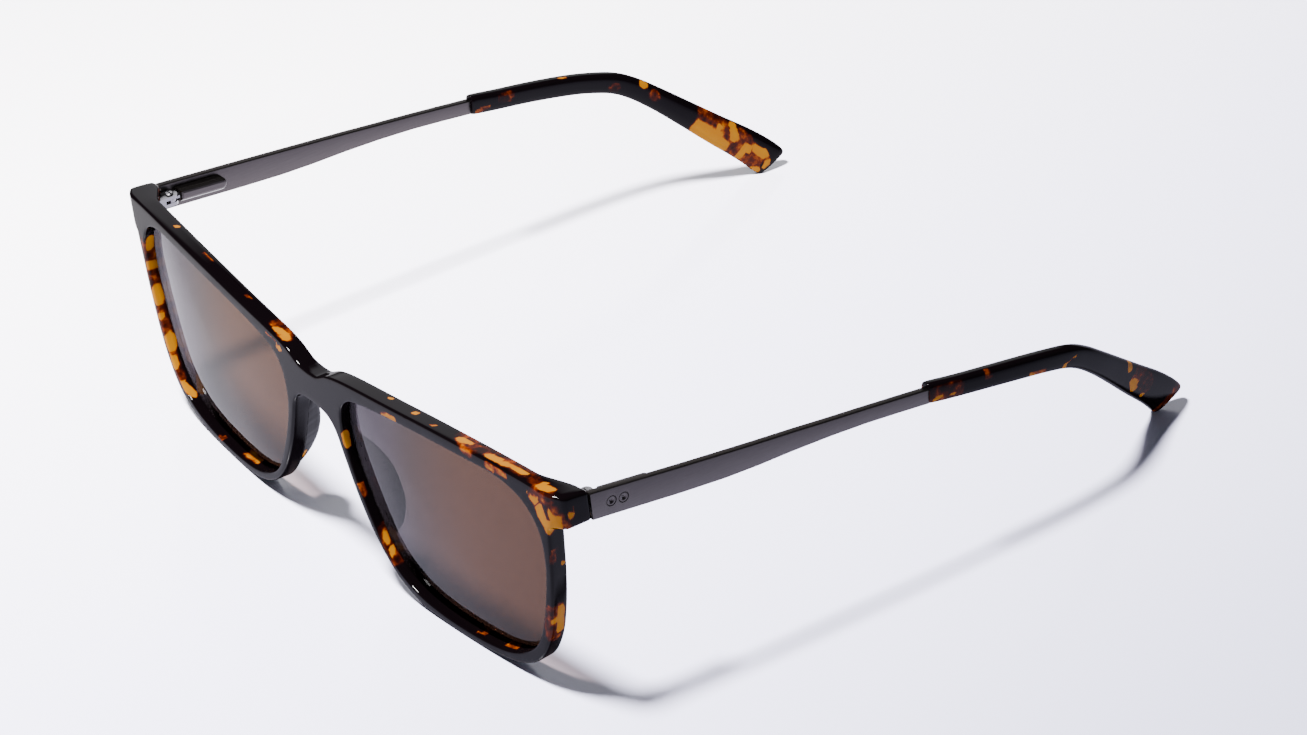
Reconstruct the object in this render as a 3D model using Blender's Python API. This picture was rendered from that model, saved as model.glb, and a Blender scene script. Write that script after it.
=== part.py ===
"""Sunglasses: an acetate front with two tinted lenses, on sprung metal temples with acetate tips.

The glasses stand open, as they lie on a table, with the rims and the temple tips on z = 0. X runs across the
face with +X on the wearer's left, the front looks along -Y and the temples run back along +Y. The origin is the
middle of the footprint. All dimensions below are in millimetres and become metres where a mesh is made.
"""

import math

import bmesh
import bpy
from mathutils import Matrix, Vector

MM = 0.001
SIDES = (("left", 1), ("right", -1))

# ---- driving dimensions, in millimetres ----
HINGE_X = 67.45            # from the middle of the face to a hinge screw's axis
HINGE_Y = -64.47           # the hinge axes, behind the front
HINGE_Z = 40.15            # the middle of the hinge knuckles
GAP = 0.05                 # clearance between pieces that are glued, screwed or pressed together

FACE_Y = -77.52            # front face of the acetate at the bridge, at FACE_Z
FACE_Z = 42.24
FACE_RADIUS = 470.0        # the front is bent round the face to this radius
FACE_TILT = 0.0764         # the front leans: its lower edge is set back by this share of its height
SHEET = 3.7                # thickness of the acetate front
END_DEPTH = 2.75           # what the end pieces are thicker than the sheet by
END_OUTER_X = 70.5
END_TOP_Z = 43.75
END_BOTTOM_Z = 37.25
END_WRAP = 1.4             # the end pieces' outer front edges are bent back by this much
END_FALL = 0.5             # and their top surfaces fall by this much towards the back
FRONT_ROUND = 0.55         # radius of the front's outer edges
RIM_ROUND = 0.4            # radius round each lens opening

GROOVE_DEPTH = 0.55        # the V groove that holds the lens
GROOVE_MIDDLE = 2.75       # its depth behind the front face
LENS_THICKNESS = 1.5
LENS_DOME = 1.3            # how far the middle of a lens stands forward of its edge

LEAF_HALF_WIDTH = 1.3      # half the width of the hinge leaves and the radius of the knuckles
LEAF_THICKNESS = 0.7
EYE_HALF_HEIGHT = 0.3
LEAF_REAR = 1.5            # the leaves' rear end, behind the screw
KNUCKLE_GAP = 0.05
SCREW_RADIUS = 0.5
SCREW_HEAD_RADIUS = 0.85
SCREW_HEAD_HEIGHT = 0.3

TEMPLE_DROP = 0.1          # the temples fall by this share of their run beside the hinge
TEMPLE_FLARE = 0.035       # and they run outwards by this share
ROD_OFFSET = 0.6           # the rod runs this far outwards of the hinge axis
HOUSING_START = 2.2        # spring housing, measured back from the hinge axis along the temple
HOUSING_LENGTH = 10.8
HOUSING_INNER = 1.15       # the housing reaches this far inwards of the rod, and this far outwards
HOUSING_OUTER = 0.98
HOUSING_TOP = 1.25
HOUSING_BOTTOM = 1.15
HOUSING_ROUND = 0.7
BORE_RADIUS = 0.75
BORE_LENGTH = 9.8
ROD_RADIUS = 0.36
ROD_END = 11.4
BUSH_LENGTH = 1.1
RETAINER_LENGTH = 0.8
RETAINER_RADIUS = 0.68
SPRING_WIRE = 0.12
SPRING_COIL = 0.56
SPRING_TURNS = 8

TEMPLE_Y = -64.92          # the places along a temple are measured back from here
BLADE_THICKNESS = 1.45
BLADE_START = -0.55        # front end of the blade
TIP_START = 71.8           # where the acetate tip begins
CORE_END = 112.0           # where the core wire ends inside the tip
CORE_HEIGHT = 1.9
CORE_THICKNESS = 1.1
RIVET_PLACES = (3.5, 6.0)
RIVET_RADIUS = 0.95
RIVET_SHANK = 0.5

# ---- outlines, (x, z) of the wearer's left half, seen from the front ----
BROW = ((0, 38.1), (2.6, 38.3), (4.4, 39.1), (6.6, 40.2), (10.2, 41.1), (16, 41.9), (25, 42.8),
        (37, 43.8), (50, 44.35), (61, 44.35), (END_OUTER_X, END_TOP_Z))
RIM = ((66.9, 31.5), (66.3, 24.5), (65.2, 17.5), (63.4, 10.8), (60.0, 5.0), (54.3, 1.6), (47.5, 0.3), (41, 0.0),
       (34, 0.05), (27, 0.75), (20.6, 3.7), (15.3, 9.3), (11.3, 16.4), (8.3, 24.2), (6.9, 28.2), (5.2, 30.5),
       (2.7, 31.4), (0, 31.6))
OPENING = ((9.2, 30.0), (9.8, 34.6), (12.5, 37.6), (16.6, 38.9), (22.5, 39.9), (30, 40.8), (38, 41.4), (46, 41.85),
           (53, 42.05), (58, 41.3), (62, 38.9), (64.5, 34.6), (65.0, 28.5), (64.2, 22), (62.7, 15.4), (60.6, 9.6),
           (57.4, 5.8), (52.6, 3.2), (47, 2.05), (40.5, 1.65), (33.4, 1.75), (26.8, 2.7), (21.2, 5.2), (17.2, 9.0),
           (13.9, 15.0), (11.2, 21.2), (9.7, 26))

# Nose pads: (height, how far the pad stands behind the rim, its thickness there)
PAD_RIBS = ((28.0, 0.3, 1.2), (26.2, 1.9, 1.9), (23.0, 3.5, 2.7), (19.2, 4.2, 3.1), (15.2, 3.9, 3.0),
            (11.8, 2.5, 2.3), (9.6, 0.4, 1.3))
PAD_SPLAY = 0.5            # the pads lean away from the nose by this share of their depth

# Temples: (place, outer x, top z, bottom z)
BLADE = ((BLADE_START, 70.53, 42.6, 37.1), (3, 70.66, 42.25, 36.8), (18, 71.18, 40.7, 35.4), (27, 71.42, 39.8, 34.7),
         (34, 71.57, 39.1, 34.45), (42, 71.7, 38.35, 34.4), (50, 71.83, 37.5, 34.15), (58, 71.93, 36.7, 33.65),
         (65, 72.0, 35.95, 32.95), (TIP_START, 72.05, 35.2, 32.2))
# Tips: (place, x, z, height, thickness, slope in degrees) of the middle of the section
TIP = ((TIP_START, 71.1, 34.15, 3.4, 2.2, 0), (72.5, 71.1, 34.05, 4.15, 2.5, 1), (78, 71.2, 33.15, 4.1, 2.7, 7),
       (86, 71.25, 32.0, 4.1, 2.8, 8.5), (94, 71.05, 30.7, 4.15, 2.85, 10.5), (100, 70.65, 29.5, 4.15, 2.9, 14),
       (106, 69.9, 27.8, 4.3, 2.95, 22), (110.5, 69.0, 25.4, 4.45, 3.0, 32), (115.5, 67.8, 21.7, 4.7, 3.0, 38),
       (121, 66.2, 17.2, 5.3, 3.0, 39.5), (127, 64.5, 12.2, 6.1, 2.95, 40), (132.6, 63.1, 7.7, 6.8, 2.9, 44),
       (136.3, 62.1, 4.45, 7.3, 2.8, 53), (138.2, 61.5, 2.5, 7.6, 2.6, 61), (139.0, 61.25, 1.7, 7.2, 2.2, 63),
       (139.5, 61.1, 1.4, 6.0, 1.3, 64))


# ---- geometry helpers ----
def catmull_rom(points, closed=False, per_span=4):
    """Points along a smooth curve through the given ones, each a tuple of any length."""
    count = len(points)
    spans = count if closed else count - 1
    found = []
    for i in range(spans):
        if closed:
            p0, p1, p2, p3 = (points[(i + k - 1) % count] for k in range(4))
        else:
            p1, p2 = points[i], points[i + 1]
            p0 = points[i - 1] if i else tuple(2 * a - b for a, b in zip(p1, p2))
            p3 = points[i + 2] if i + 2 < count else tuple(2 * b - a for a, b in zip(p1, p2))
        for k in range(per_span):
            t = k / per_span
            found.append(tuple(
                0.5 * (2 * b + (c - a) * t + (2 * a - 5 * b + 4 * c - d) * t * t + (3 * b - a - 3 * c + d) * t ** 3)
                for a, b, c, d in zip(p0, p1, p2, p3)))
    if not closed:
        found.append(tuple(float(v) for v in points[-1]))
    return found


def resample(points, step):
    """The same 2-D polyline with its points about one step apart."""
    lengths = [0.0]
    for a, b in zip(points, points[1:]):
        lengths.append(lengths[-1] + math.dist(a, b))
    count = max(2, round(lengths[-1] / step))
    found = []
    j = 0
    for i in range(count + 1):
        wanted = lengths[-1] * i / count
        while j < len(points) - 2 and lengths[j + 1] < wanted:
            j += 1
        share = (wanted - lengths[j]) / max(lengths[j + 1] - lengths[j], 1e-9)
        found.append(tuple(a + (b - a) * share for a, b in zip(points[j], points[j + 1])))
    return found


def fillet(before, corner, after, radius, steps=3):
    """An arc that rounds a corner of a 2-D outline."""
    corner = Vector(corner)
    to_a = (Vector(before) - corner).normalized()
    to_b = (Vector(after) - corner).normalized()
    half = to_a.angle(to_b) / 2
    centre = corner + (to_a + to_b).normalized() * (radius / math.sin(half))
    start = corner + to_a * (radius / math.tan(half)) - centre
    end = corner + to_b * (radius / math.tan(half)) - centre
    turn = start.angle_signed(end)
    return [tuple(centre + Matrix.Rotation(-turn * k / steps, 2) @ start) for k in range(steps + 1)]


def offset(loop, distance):
    """A closed 2-D loop moved to the right of its direction of travel by the distance."""
    moved = []
    for i, point in enumerate(loop):
        a, b, c = Vector(loop[i - 1]), Vector(point), Vector(loop[(i + 1) % len(loop)])
        d1, d2 = (b - a).normalized(), (c - b).normalized()
        n1, n2 = Vector((d1.y, -d1.x)), Vector((d2.y, -d2.x))
        middle = (n1 + n2).normalized()
        moved.append(tuple(b + middle * (distance / max(middle.dot(n1), 0.5))))
    return moved


def smooth_step(value):
    value = min(max(value, 0.0), 1.0)
    return value * value * (3 - 2 * value)


def at_station(rows, where):
    """A row of numbers read between the rows of a table whose first column is the place."""
    for a, b in zip(rows, rows[1:]):
        if where <= b[0]:
            share = (where - a[0]) / (b[0] - a[0])
            return tuple(p + (q - p) * share for p, q in zip(a, b))
    return rows[-1]


def ring_faces(faces, first, second, count, flip=False):
    for i in range(count):
        j = (i + 1) % count
        quad = (first + i, first + j, second + j, second + i)
        faces.append(quad[::-1] if flip else quad)


def loft(rings, cap_ends=True, closed=False):
    """(vertices, faces) of a skin over rings of equal length. Its faces are turned outwards later."""
    count = len(rings[0])
    verts = [tuple(p) for ring in rings for p in ring]
    faces = []
    for k in range(len(rings) - 1):
        ring_faces(faces, k * count, (k + 1) * count, count)
    if closed:
        ring_faces(faces, (len(rings) - 1) * count, 0, count)
    elif cap_ends:
        faces.append(tuple(range(count)))
        faces.append(tuple(range((len(rings) - 1) * count, len(rings) * count)))
    return verts, faces


def lathe(profile, segments):
    """(vertices, faces) of (radius, height) pairs turned about Z. A profile that ends off the axis is a ring."""
    rings = []
    for radius, height in profile:
        ring = []
        for k in range(segments):
            angle = 2 * math.pi * k / segments
            ring.append((radius * math.cos(angle), radius * math.sin(angle), height))
        rings.append(ring)
    return loft(rings, closed=True)


def superellipse(half_a, half_b, power, count):
    points = []
    for k in range(count):
        angle = 2 * math.pi * (k + 0.5) / count
        c, s = math.cos(angle), math.sin(angle)
        points.append((half_a * math.copysign(abs(c) ** (2 / power), c),
                       half_b * math.copysign(abs(s) ** (2 / power), s)))
    return points


# ---- Blender helpers ----
def clear_scene():
    for obj in list(bpy.data.objects):
        bpy.data.objects.remove(obj, do_unlink=True)


def material(name, colour, roughness, metallic=0.0, transmission=0.0):
    made = bpy.data.materials.new(name)
    made.use_nodes = True
    shader = made.node_tree.nodes["Principled BSDF"]
    shader.inputs["Base Color"].default_value = (*colour, 1)
    shader.inputs["Roughness"].default_value = roughness
    shader.inputs["Metallic"].default_value = metallic
    shader.inputs["Transmission Weight"].default_value = transmission
    return made


def add_object(name, verts, faces, surface, origin=(0, 0, 0), smooth_angle=35):
    """A mesh object from millimetre coordinates in the world, with its own origin."""
    origin = Vector(origin)
    mesh = bpy.data.meshes.new(name)
    mesh.from_pydata([(Vector(v) - origin) * MM for v in verts], [], faces)
    work = bmesh.new()
    work.from_mesh(mesh)
    bmesh.ops.recalc_face_normals(work, faces=work.faces)
    if work.calc_volume(signed=True) < 0:
        bmesh.ops.reverse_faces(work, faces=work.faces)
    work.to_mesh(mesh)
    work.free()
    mesh.shade_smooth()
    mesh.set_sharp_from_angle(angle=math.radians(smooth_angle))
    if surface:
        mesh.materials.append(surface)
    obj = bpy.data.objects.new(name, mesh)
    obj.location = origin * MM
    bpy.context.scene.collection.objects.link(obj)
    return obj


def add_cutter(name, verts, faces):
    cutter = add_object(name, verts, faces, None)
    cutter.hide_render = True
    cutter.display_type = "WIRE"
    return cutter


def boolean(obj, other, operation="DIFFERENCE"):
    modifier = obj.modifiers.new(other.name, "BOOLEAN")
    modifier.operation = operation
    modifier.solver = "EXACT"
    modifier.object = other


def moved(shape, matrix):
    """A (vertices, faces) pair after a matrix."""
    verts, faces = shape
    return [tuple(matrix @ Vector(v)) for v in verts], faces


def box(low, high):
    """(vertices, faces) of a box."""
    rings = [[(low[0], low[1], z), (high[0], low[1], z), (high[0], high[1], z), (low[0], high[1], z)]
             for z in (low[2], high[2])]
    return loft(rings)


def cylinder(radius, low, high, segments=16):
    rings = [[(radius * math.cos(2 * math.pi * k / segments), radius * math.sin(2 * math.pi * k / segments), z)
              for k in range(segments)] for z in (low, high)]
    return loft(rings)


def mirrored(shape, side):
    """The left-hand shape as it is, or turned over to the wearer's right."""
    verts, faces = shape
    return [(side * x, y, z) for x, y, z in verts], faces


def parent_to(child, parent):
    child.parent = parent
    child.matrix_parent_inverse = parent.matrix_world.inverted()


# ---- the acetate front ----
def end_share(x, z):
    """0 on the plain sheet, 1 where the end piece has its full thickness."""
    if z < END_BOTTOM_Z - 0.15:
        return 0.0
    start = 62.0 + (END_TOP_Z - z) * 0.6
    return smooth_step((abs(x) - start) / (68.4 - start))


def on_sheet(x, z, depth):
    """The point at this depth behind the front face, with the sheet's bend and lean."""
    share = end_share(x, z)
    level = depth / SHEET
    depth *= 1 + share * END_DEPTH / SHEET
    lean = math.asin(x / FACE_RADIUS)
    y = FACE_Y + x * x / (2 * FACE_RADIUS) + FACE_TILT * (FACE_Z - z) + depth
    y += END_WRAP * share * (1 - level) * max(0.0, (abs(x) - 66.8) / (END_OUTER_X - 66.8)) ** 2
    fall = END_FALL * share * level * level * smooth_step((z - 40) / (END_TOP_Z - 40))
    return (x - depth * math.sin(lean) * (1 - share), y, z - fall)


def front_outline():
    """The closed outer outline, from the middle of the brow clockwise as the wearer's left half shows it."""
    top, bottom, inner = (END_OUTER_X, END_TOP_Z), (END_OUTER_X, END_BOTTOM_Z), (67.3, END_BOTTOM_Z - 0.3)
    brow = resample(catmull_rom(BROW), 2.6)
    rim = resample(catmull_rom(RIM, per_span=6), 2.4)
    half = brow[:-1] + fillet(brow[-2], top, bottom, 0.8)
    half += fillet(top, bottom, inner, 0.5) + fillet(bottom, inner, rim[0], 1.4)
    half += rim[:-1]
    half.append((0.0, RIM[-1][1]))
    back = [(-x, z) for x, z in half[-2:0:-1]]
    return half + back


def opening_outline(step=2.6):
    """The closed outline of the left lens opening, the same way round as the outer outline."""
    loop = catmull_rom(OPENING, closed=True, per_span=6)
    return resample(loop + [loop[0]], step)[:-1]


def round_steps(radius, steps=2):
    """(inset, depth) pairs of a rounded edge, from the front face round to the wall."""
    turns = [math.pi / 2 * k / steps for k in range(steps + 1)]
    return [(radius * (1 - math.sin(a)), radius * (1 - math.cos(a))) for a in turns]


def add_front(surface):
    outer = front_outline()
    left = opening_outline()
    right = [(-x, z) for x, z in left][::-1]
    near = round_steps(FRONT_ROUND)
    edge = near + [(inset, SHEET - depth) for inset, depth in reversed(near)]
    lip = round_steps(RIM_ROUND)
    half = GROOVE_DEPTH * 1.4
    wall = lip + [(0, GROOVE_MIDDLE - half), (GROOVE_DEPTH, GROOVE_MIDDLE), (0, GROOVE_MIDDLE + half - 0.05),
                  (0.1, SHEET)]
    work = bmesh.new()
    rims = {0: [], SHEET: []}
    for loop, steps, sign in ((outer, edge, 1), (left, wall, -1), (right, wall, -1)):
        rings = []
        for inset, depth in steps:
            ring = [work.verts.new((x, depth, z)) for x, z in offset(loop, inset * sign)]
            rings.append(ring)
        for a, b in zip(rings, rings[1:]):
            for i in range(len(loop)):
                j = (i + 1) % len(loop)
                work.faces.new((a[i], a[j], b[j], b[i]))
        rims[0].append(rings[0])
        rims[SHEET].append(rings[-1])
    for loops in rims.values():
        edges = []
        for ring in loops:
            for a, b in zip(ring, ring[1:] + ring[:1]):
                edges.append(work.edges.get((a, b)))
        bmesh.ops.triangle_fill(work, use_beauty=True, edges=edges)
    verts = [on_sheet(v.co.x, v.co.z, v.co.y) for v in work.verts]
    work.verts.index_update()
    faces = [tuple(v.index for v in face.verts) for face in work.faces]
    work.free()
    front = add_object("front_frame", verts, faces, surface, smooth_angle=32)
    for name, side in SIDES:
        low, high = foot_box()
        grown = box([v - GAP for v in low], [high[0] + GAP, high[1] + 3, high[2] + GAP])
        boolean(front, add_cutter(f"cutter_hinge_seat_{name}", *mirrored(grown, side)))
    return front


def add_lens(name, side, surface):
    outline = opening_outline()
    centre = Vector((37.0, 22.5))
    middle = GROOVE_MIDDLE
    half = LENS_THICKNESS / 2
    edge = offset(outline, GAP)
    ridge = offset(outline, GAP - GROOVE_DEPTH)
    rings = []

    def ring_at(loop, share, depth):
        ring = []
        for x, z in loop:
            x, z = centre.x + (x - centre.x) * share, centre.y + (z - centre.y) * share
            ring.append(on_sheet(x, z, depth - LENS_DOME * (1 - share * share)))
        return ring

    shares = (0.12, 0.4, 0.65, 0.85)
    rings += [ring_at(edge, share, middle - half) for share in shares]
    rings += [ring_at(edge, 1, middle - half), ring_at(ridge, 1, middle), ring_at(edge, 1, middle + half)]
    rings += [ring_at(edge, share, middle + half) for share in reversed(shares)]
    return add_object(f"lens_{name}", *mirrored(loft(rings), side), surface, smooth_angle=50)


def rim_middle(z):
    """x of the middle of the nasal rim at this height, and half the rim's width there."""
    outer = [p for p in catmull_rom(RIM) if p[0] < 30]
    inner = [p for p in catmull_rom(OPENING, closed=True) if p[0] < 30 and p[1] < 31]
    x_outer = min(outer, key=lambda p: abs(p[1] - z))[0]
    x_inner = min(inner, key=lambda p: abs(p[1] - z))[0]
    return (x_outer + x_inner) / 2, abs(x_inner - x_outer) / 2


def add_nose_pad(name, side, surface):
    """A lobe glued to the back of the nasal rim, lofted through ribs that each lie at one height."""
    rings = []
    for z, stand, thick in catmull_rom(PAD_RIBS, per_span=2):
        middle, half = rim_middle(z)
        half = min(half, thick / 2)
        base = SHEET + 2 * GAP
        lean = PAD_SPLAY * stand
        shape = ((-half, 0), (-half - 0.1 + lean * 0.3, stand * 0.4), (lean * 0.85 - thick / 2, stand * 0.8),
                 (lean - thick * 0.2, stand), (lean + thick * 0.3, stand * 0.98), (lean + thick / 2, stand * 0.75),
                 (lean * 0.6 + thick * 0.42, stand * 0.35), (half, 0))
        rings.append([on_sheet(middle + across, z, base + back) for across, back in shape])
    return add_object(f"nose_pad_{name}", *mirrored(loft(rings), side), surface, smooth_angle=60)


# ---- the hinge ----
def leaf_heights():
    """z of the bottom and top of the lower leaf, the eye and the upper leaf."""
    eye = EYE_HALF_HEIGHT
    return ((HINGE_Z - eye - KNUCKLE_GAP - LEAF_THICKNESS, HINGE_Z - eye - KNUCKLE_GAP),
            (HINGE_Z - eye, HINGE_Z + eye),
            (HINGE_Z + eye + KNUCKLE_GAP, HINGE_Z + eye + KNUCKLE_GAP + LEAF_THICKNESS))


def foot_box():
    """The part of the front hinge that is sunk into the end piece."""
    lower, _, upper = leaf_heights()
    return ((HINGE_X - LEAF_HALF_WIDTH, HINGE_Y - 4.05, lower[0]), (HINGE_X + LEAF_HALF_WIDTH, HINGE_Y - 1.6, upper[1]))


def add_front_hinge(name, side, surface):
    """Two flat leaves with rounded rear ends, on one foot, bored for the screw."""
    lower, _, upper = leaf_heights()
    low, high = foot_box()
    rear = HINGE_Y + LEAF_REAR
    corner = 1.0
    outline = [(low[0], low[1]), (high[0], low[1])]
    for centre_x, start in ((high[0] - corner, 0), (low[0] + corner, 90)):
        for k in range(4):
            angle = math.radians(start + 30 * k)
            outline.append((centre_x + corner * math.cos(angle), rear - corner + corner * math.sin(angle)))
    rings = [[(x, y, z) for x, y in outline] for z in (lower[0], upper[1])]
    hinge = add_object(f"front_hinge_{name}", *mirrored(loft(rings), side), surface,
                       origin=(side * HINGE_X, HINGE_Y, HINGE_Z))
    slot = box((low[0] - 1, HINGE_Y - LEAF_HALF_WIDTH - 0.15, lower[1]), (high[0] + 1, rear + 1, upper[0]))
    boolean(hinge, add_cutter(f"cutter_slot_{name}", *mirrored(slot, side)))
    hole = moved(cylinder(SCREW_RADIUS + 0.03, lower[0] - 1, upper[1] + 1), Matrix.Translation((HINGE_X, HINGE_Y, 0)))
    boolean(hinge, add_cutter(f"cutter_screw_hole_{name}", *mirrored(hole, side)))
    return hinge


def add_hinge_screw(name, side, surface):
    lower, _, upper = leaf_heights()
    head = upper[1] + 0.03
    place = Matrix.Translation((side * HINGE_X, HINGE_Y, 0))
    rings = []
    for radius, z in ((SCREW_RADIUS * 0.7, lower[0] + 0.05), (SCREW_RADIUS, lower[0] + 0.25), (SCREW_RADIUS, head),
                      (SCREW_HEAD_RADIUS, head), (SCREW_HEAD_RADIUS, head + SCREW_HEAD_HEIGHT * 0.5),
                      (SCREW_HEAD_RADIUS * 0.8, head + SCREW_HEAD_HEIGHT)):
        rings.append([(radius * math.cos(2 * math.pi * k / 16), radius * math.sin(2 * math.pi * k / 16), z)
                      for k in range(16)])
    screw = add_object(f"hinge_screw_{name}", *moved(loft(rings), place), surface,
                       origin=(side * HINGE_X, HINGE_Y, HINGE_Z))
    top = head + SCREW_HEAD_HEIGHT
    slot = moved(box((-2, -0.13, top - 0.16), (2, 0.13, top + 1)), place)
    boolean(screw, add_cutter(f"cutter_screw_slot_{name}", *slot))
    return screw


def temple_frame():
    """Matrix of the left temple's own axes: x back along the rod, y outwards, z up, from beside the hinge axis."""
    along = Vector((TEMPLE_FLARE, 1, -TEMPLE_DROP)).normalized()
    outward = along.cross(Vector((0, 0, 1))).normalized()
    up = outward.cross(along)
    turn = Matrix((along, outward, up)).transposed().to_4x4()
    return Matrix.Translation((HINGE_X + ROD_OFFSET, HINGE_Y, HINGE_Z)) @ turn


ALONG_X = Matrix.Rotation(math.radians(90), 4, "Y")   # turns a shape made along Z to lie along the rod


def add_slider(name, side, surface):
    """The middle knuckle, on the rod that the spring pulls."""
    _, eye, _ = leaf_heights()
    place = Matrix.Translation((HINGE_X, HINGE_Y, 0))
    knuckle = moved(cylinder(LEAF_HALF_WIDTH, eye[0], eye[1], 20), place)
    slider = add_object(f"hinge_slider_{name}", *mirrored(knuckle, side), surface,
                        origin=(side * HINGE_X, HINGE_Y, HINGE_Z))
    neck = moved(box((-0.5, 0.6, -0.27), (ROD_OFFSET + 0.4, HOUSING_START - 0.2, 0.27)),
                 Matrix.Translation((HINGE_X, HINGE_Y, HINGE_Z)))
    rod = moved(moved(cylinder(ROD_RADIUS, LEAF_REAR + 0.13, ROD_END, 12), ALONG_X), temple_frame())
    for label, shape in (("neck", neck), ("rod", rod)):
        boolean(slider, add_cutter(f"cutter_slider_{label}_{name}", *mirrored(shape, side)), "UNION")
    hole = moved(cylinder(SCREW_RADIUS + 0.05, eye[0] - 1, eye[1] + 1), place)
    boolean(slider, add_cutter(f"cutter_eye_{name}", *mirrored(hole, side)))
    return slider


def collar(inner, outer, low, high, segments=14):
    """(vertices, faces) of a ring round the rod, between two places along it."""
    profile = ((inner, low), (outer, low), (outer, high), (inner, high))
    return moved(moved(lathe(profile, segments), ALONG_X), temple_frame())


def spring_span():
    return HOUSING_START + BUSH_LENGTH + 0.1 + SPRING_WIRE, ROD_END - RETAINER_LENGTH - 0.25 - SPRING_WIRE


def add_spring(name, side, surface):
    low, high = spring_span()
    steps = SPRING_TURNS * 10
    rings = []
    for k in range(steps + 1):
        angle = 2 * math.pi * SPRING_TURNS * k / steps
        where = low + (high - low) * k / steps
        outward = Vector((0, math.cos(angle), math.sin(angle)))
        ring = []
        for j in range(5):
            turn = 2 * math.pi * j / 5
            ring.append(Vector((where + SPRING_WIRE * math.sin(turn), 0, 0))
                        + outward * (SPRING_COIL + SPRING_WIRE * math.cos(turn)))
        rings.append(ring)
    shape = moved(loft(rings), temple_frame())
    return add_object(f"hinge_spring_{name}", *mirrored(shape, side), surface)


def add_housing(name, side, surface):
    """A bar on the inside of the blade, with a round rear end and a blind bore for the rod and its spring."""
    half_height = (HOUSING_TOP + HOUSING_BOTTOM) / 2
    middle = (HOUSING_TOP - HOUSING_BOTTOM) / 2
    rear = HOUSING_START + HOUSING_LENGTH - half_height
    side_view = [(HOUSING_START, -HOUSING_BOTTOM), (HOUSING_START, HOUSING_TOP)]
    for k in range(9):
        angle = math.radians(90 - 22.5 * k)
        side_view.append((rear + half_height * math.cos(angle), middle + half_height * math.sin(angle)))
    rings = []
    for inset, rise in round_steps(HOUSING_ROUND, 3):
        rings.append([(u, -HOUSING_INNER + rise, w) for u, w in offset(side_view, inset)])
    rings.append([(u, HOUSING_OUTER, w) for u, w in side_view])
    shape = moved(loft(rings), temple_frame())
    housing = add_object(f"spring_housing_{name}", *mirrored(shape, side), surface)
    bore = moved(moved(cylinder(BORE_RADIUS, HOUSING_START - 1, HOUSING_START + BORE_LENGTH, 20), ALONG_X),
                 temple_frame())
    boolean(housing, add_cutter(f"cutter_bore_{name}", *mirrored(bore, side)))
    for k, place in enumerate(RIVET_PLACES):
        hole = moved(cylinder(RIVET_SHANK + 0.04, -2, 0), rivet_matrix(place))
        boolean(housing, add_cutter(f"cutter_housing_rivet_{k}_{name}", *mirrored(hole, side)))
    return housing


# ---- the temples ----
def section(x, y, z, height, thickness, slope, power, count):
    """A ring of points square to the temple's run, whose side view falls at the slope angle."""
    up = Vector((0, math.sin(slope), math.cos(slope)))
    return [Vector((x, y, z)) + Vector((a, 0, 0)) + up * b
            for a, b in superellipse(thickness / 2, height / 2, power, count)]


def tip_path():
    """Stations of the tip, each (distance, x, z, height, thickness, slope)."""
    return [(*row[:5], math.radians(row[5])) for row in catmull_rom(TIP, per_span=2)]


def blade_ring(place, outer_x, top, bottom):
    """A rectangle with eased edges, square to Y."""
    ease = 0.18
    inner_x = outer_x - BLADE_THICKNESS
    y = TEMPLE_Y + place
    corners = ((inner_x + ease, bottom), (outer_x - ease, bottom), (outer_x, bottom + ease), (outer_x, top - ease),
               (outer_x - ease, top), (inner_x + ease, top), (inner_x, top - ease), (inner_x, bottom + ease))
    lean = FACE_TILT if place == BLADE_START else 0
    return [(x, y + lean * (HINGE_Z - z), z) for x, z in corners]


def core_rings(rows, grow):
    """Rings of the core wire, or of the channel that holds it when grow is above 0."""
    rings = []
    for place, x, z, _, _, slope in rows:
        up = Vector((0, math.sin(slope), math.cos(slope)))
        middle = Vector((x, TEMPLE_Y + place, z))
        half_t, half_h = CORE_THICKNESS / 2 + grow, CORE_HEIGHT / 2 + grow
        ease = 0.2
        ring = []
        for a, b in ((-half_t + ease, -half_h), (half_t - ease, -half_h), (half_t, -half_h + ease),
                     (half_t, half_h - ease), (half_t - ease, half_h), (-half_t + ease, half_h),
                     (-half_t, half_h - ease), (-half_t, -half_h + ease)):
            ring.append(middle + Vector((a, 0, 0)) + up * b)
        rings.append(ring)
    return rings


def core_rows(end):
    return [row for row in tip_path() if row[0] <= end]


def rivet_matrix(place):
    """Places a shape made along +Z so that it points out through the blade, with its origin on the outer face."""
    _, outer_x, top, bottom = at_station(BLADE, place)
    run = math.atan(TEMPLE_FLARE)
    middle = (top + bottom) / 2 + 0.1
    return (Matrix.Translation((outer_x, TEMPLE_Y + place, middle)) @ Matrix.Rotation(-run, 4, "Z")
            @ Matrix.Rotation(math.radians(90), 4, "Y"))


def add_blade(name, side, surface):
    rings = [blade_ring(*row) for row in BLADE]
    rings += core_rings(core_rows(CORE_END), 0)
    blade = add_object(f"temple_blade_{name}", *mirrored(loft(rings), side), surface,
                       origin=(side * HINGE_X, HINGE_Y, HINGE_Z), smooth_angle=25)
    for k, place in enumerate(RIVET_PLACES):
        hole = moved(cylinder(RIVET_RADIUS + 0.03, -3, 1), rivet_matrix(place))
        boolean(blade, add_cutter(f"cutter_blade_rivet_{k}_{name}", *mirrored(hole, side)))
    return blade


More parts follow.
